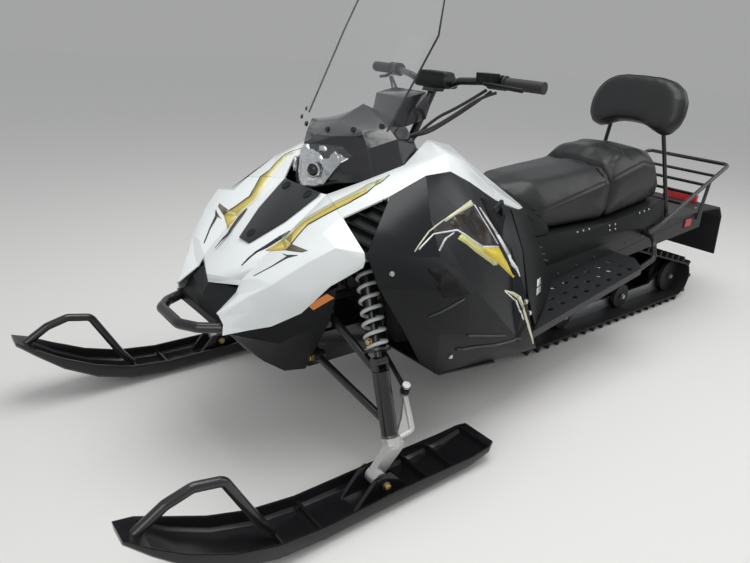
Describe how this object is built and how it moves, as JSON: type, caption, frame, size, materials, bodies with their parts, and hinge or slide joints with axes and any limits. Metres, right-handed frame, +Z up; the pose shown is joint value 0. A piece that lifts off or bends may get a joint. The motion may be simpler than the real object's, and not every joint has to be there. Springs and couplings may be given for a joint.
{
  "type": "snowmobile",
  "caption": "Two-seat snowmobile with a faceted nose, clear windshield, steered skis on A-arms, a lugged track under a tunnel, seat with backrest and rear rack.",
  "frame": {"origin": "on the floor, under the middle of the whole machine's box", "axes": "+X forwards, +Y to the machine's left, +Z up"},
  "size_m": [2.96, 1.14, 1.336],
  "materials": {
    "white_gloss": "gloss",
    "black_matte": "matte",
    "black_satin": "satin",
    "black_gloss": "gloss",
    "leatherette": "satin",
    "rubber_black": "matte",
    "alloy": "satin",
    "cast_alloy": "satin",
    "black_paint": "satin",
    "spring_grey": "satin",
    "steel": "satin",
    "clear_glass": "gloss",
    "amber_lens": "gloss",
    "red_lens": "gloss",
    "iron": "matte"
  },
  "bodies": {
    "chassis": {"track_belt": "rubber_black", "slide_rails": "alloy", "rail_wheels": "black_matte", "drive_sprockets": "black_matte", "carrier_wheels": "black_matte", "rear_suspension": "black_paint", "rear_shock": "spring_grey", "tunnel": "black_paint", "running_boards": "black_paint", "snow_flap": "rubber_black", "suspension_arms": "black_paint", "shocks": "black_paint", "shock_springs": "spring_grey", "front_subframe": "black_paint", "steering_hoop": "black_paint", "engine_block": "iron", "hood": "white_gloss", "hood_insert": "black_satin", "nose_panels": "white_gloss", "shoulder_cowls": "white_gloss", "side_panels": "black_satin", "side_vents": "black_matte", "lower_panels": "black_matte", "front_grille": "black_matte", "belly_pan": "black_matte", "engine_tray": "black_matte", "front_bumper": "black_paint", "dash_pod": "black_gloss", "headlamp_glass": "clear_glass", "windshield": "clear_glass", "console": "black_matte", "knee_panels": "black_matte", "seat_base": "black_matte", "rider_seat": "leatherette", "passenger_seat": "leatherette", "backrest_pad": "leatherette", "backrest_frame": "black_paint", "rear_rack": "black_paint", "tail_lamp": "red_lens", "tow_hitch": "black_paint", "amber_reflectors": "amber_lens"},
    "handlebar": {"steering_column": "black_paint", "handlebar": "black_paint", "hand_grips": "rubber_black", "hand_controls": "black_matte"},
    "spindle_left": {"spindle_left": "cast_alloy"},
    "spindle_right": {"spindle_right": "cast_alloy"},
    "tie_rod_left": {"tie_rod_left": "black_paint"},
    "tie_rod_right": {"tie_rod_right": "black_paint"},
    "ski_left": {"ski_left": "black_gloss", "ski_fittings_left": "black_paint"},
    "ski_right": {"ski_right": "black_gloss", "ski_fittings_right": "black_paint"}
  },
  "joints": [
    {"name": "steer_left", "type": "hinge", "parent": "chassis", "child": "spindle_left", "pos_m": [0.795, 0.465, 0.153], "axis": [-0.0237, -0.3317, 0.9431], "range_deg": [-25, 25]},
    {"name": "steer_right", "type": "hinge", "parent": "chassis", "child": "spindle_right", "pos_m": [0.795, -0.465, 0.153], "axis": [-0.0237, 0.3317, 0.9431], "range_deg": [-25, 25]},
    {"name": "handlebar_turn", "type": "hinge", "parent": "chassis", "child": "handlebar", "pos_m": [0.315, 0, 0.985], "axis": [-0.4695, 0, 0.8829], "range_deg": [-25, 25]},
    {"name": "tie_rod_left_swing", "type": "hinge", "parent": "spindle_left", "child": "tie_rod_left", "pos_m": [0.735, 0.446, 0.262], "axis": [-0.0237, -0.3317, 0.9431], "range_deg": [-25, 25]},
    {"name": "tie_rod_right_swing", "type": "hinge", "parent": "spindle_right", "child": "tie_rod_right", "pos_m": [0.735, -0.446, 0.262], "axis": [-0.0237, 0.3317, 0.9431], "range_deg": [-25, 25]},
    {"name": "ski_left_pitch", "type": "hinge", "parent": "spindle_left", "child": "ski_left", "pos_m": [0.86, 0.496, 0.066], "axis": [0, 1, 0], "range_deg": [-15, 15]},
    {"name": "ski_right_pitch", "type": "hinge", "parent": "spindle_right", "child": "ski_right", "pos_m": [0.86, -0.496, 0.066], "axis": [0, 1, 0], "range_deg": [-15, 15]}
  ],
  "couplings": [
    {"joint": "steer_right", "follows": "steer_left", "ratio": 1},
    {"joint": "handlebar_turn", "follows": "steer_left", "ratio": 1},
    {"joint": "tie_rod_left_swing", "follows": "steer_left", "ratio": -1},
    {"joint": "tie_rod_right_swing", "follows": "steer_left", "ratio": -1}
  ]
}
